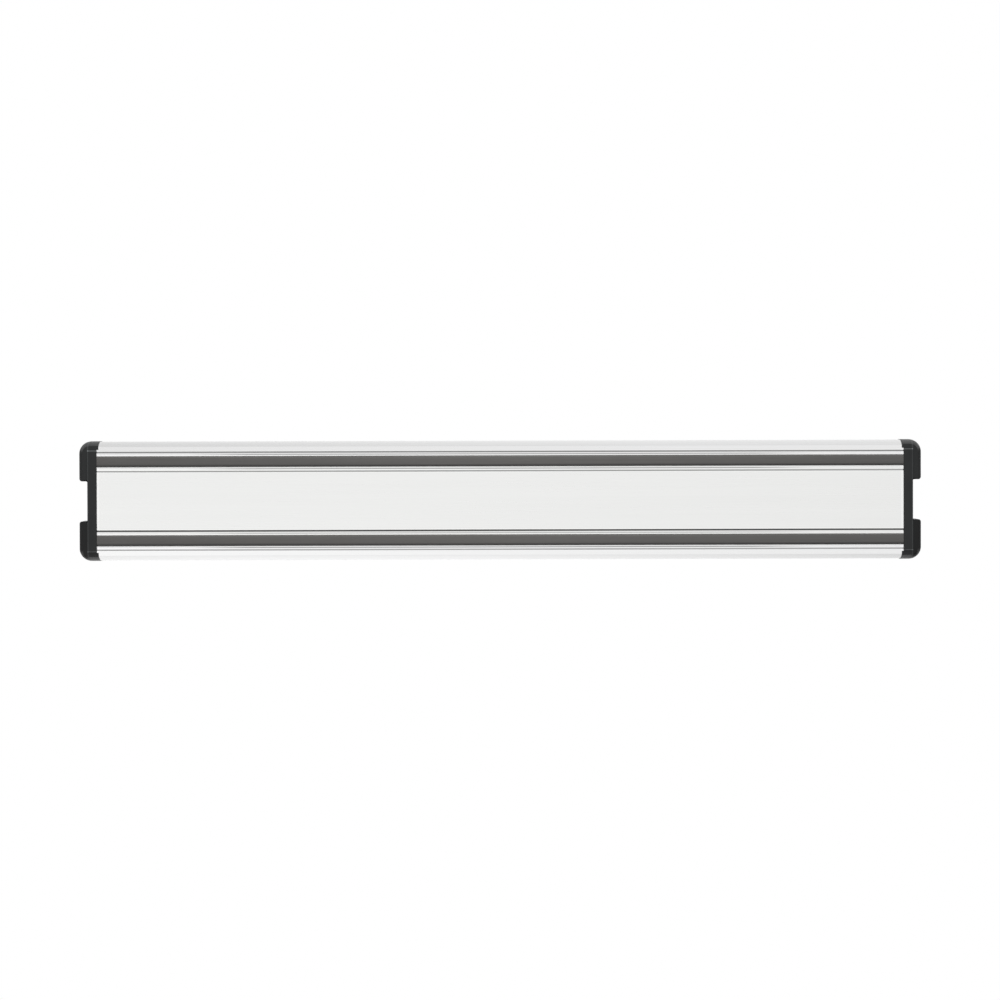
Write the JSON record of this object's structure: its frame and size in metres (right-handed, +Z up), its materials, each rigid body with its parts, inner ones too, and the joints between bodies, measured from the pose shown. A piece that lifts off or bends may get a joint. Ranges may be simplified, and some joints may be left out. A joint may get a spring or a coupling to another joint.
{
  "type": "knife magnetic rack",
  "caption": "Wall-mounted magnetic knife rack: aluminium rail with steel strips over ferrite magnets, black moulded end caps and lift-off wall brackets.",
  "frame": {"origin": "middle of the back face, on the wall plane", "axes": "+X along the rack, +Z up, +Y into the wall; the strips that hold the blades face -Y"},
  "size_m": [0.35, 0.0163, 0.0498],
  "materials": {
    "housing_aluminium": "satin drawn and anodised, fine lines along the rail",
    "cover_aluminium": "satin brushed and anodised, fine lines along the rail",
    "pole_steel": "dark oxide coated, satin",
    "cap_plastic": "black moulded, fine texture, semi-gloss",
    "bracket_plastic": "black moulded, matt",
    "ferrite": "pressed and ground ferrite, matt",
    "spacer_plastic": "natural moulded, matt",
    "tape": "foam tape, matt",
    "screw_steel": "zinc plated"
  },
  "bodies": {
    "wall_brackets": {"wall_bracket_left": "bracket_plastic", "wall_bracket_right": "bracket_plastic"},
    "rack": {"housing": "housing_aluminium", "centre_cover": "cover_aluminium", "cover_tape": "tape", "pole_bar_upper": "pole_steel", "pole_bar_lower": "pole_steel", "magnet_1": "ferrite", "magnet_2": "ferrite", "magnet_3": "ferrite", "magnet_4": "ferrite", "magnet_5": "ferrite", "magnet_6": "ferrite", "magnet_7": "ferrite", "magnet_spacer_1": "spacer_plastic", "magnet_spacer_2": "spacer_plastic", "magnet_spacer_3": "spacer_plastic", "magnet_spacer_4": "spacer_plastic", "magnet_spacer_5": "spacer_plastic", "magnet_spacer_6": "spacer_plastic", "end_cap_left": "cap_plastic", "end_cap_right": "cap_plastic", "cap_screw_left": "screw_steel", "cap_screw_right": "screw_steel"}
  },
  "joints": [
    {"name": "lift_off", "type": "slide", "parent": "wall_brackets", "child": "rack", "axis": [0, 0, 1], "range_m": [0, 0.006]}
  ]
}
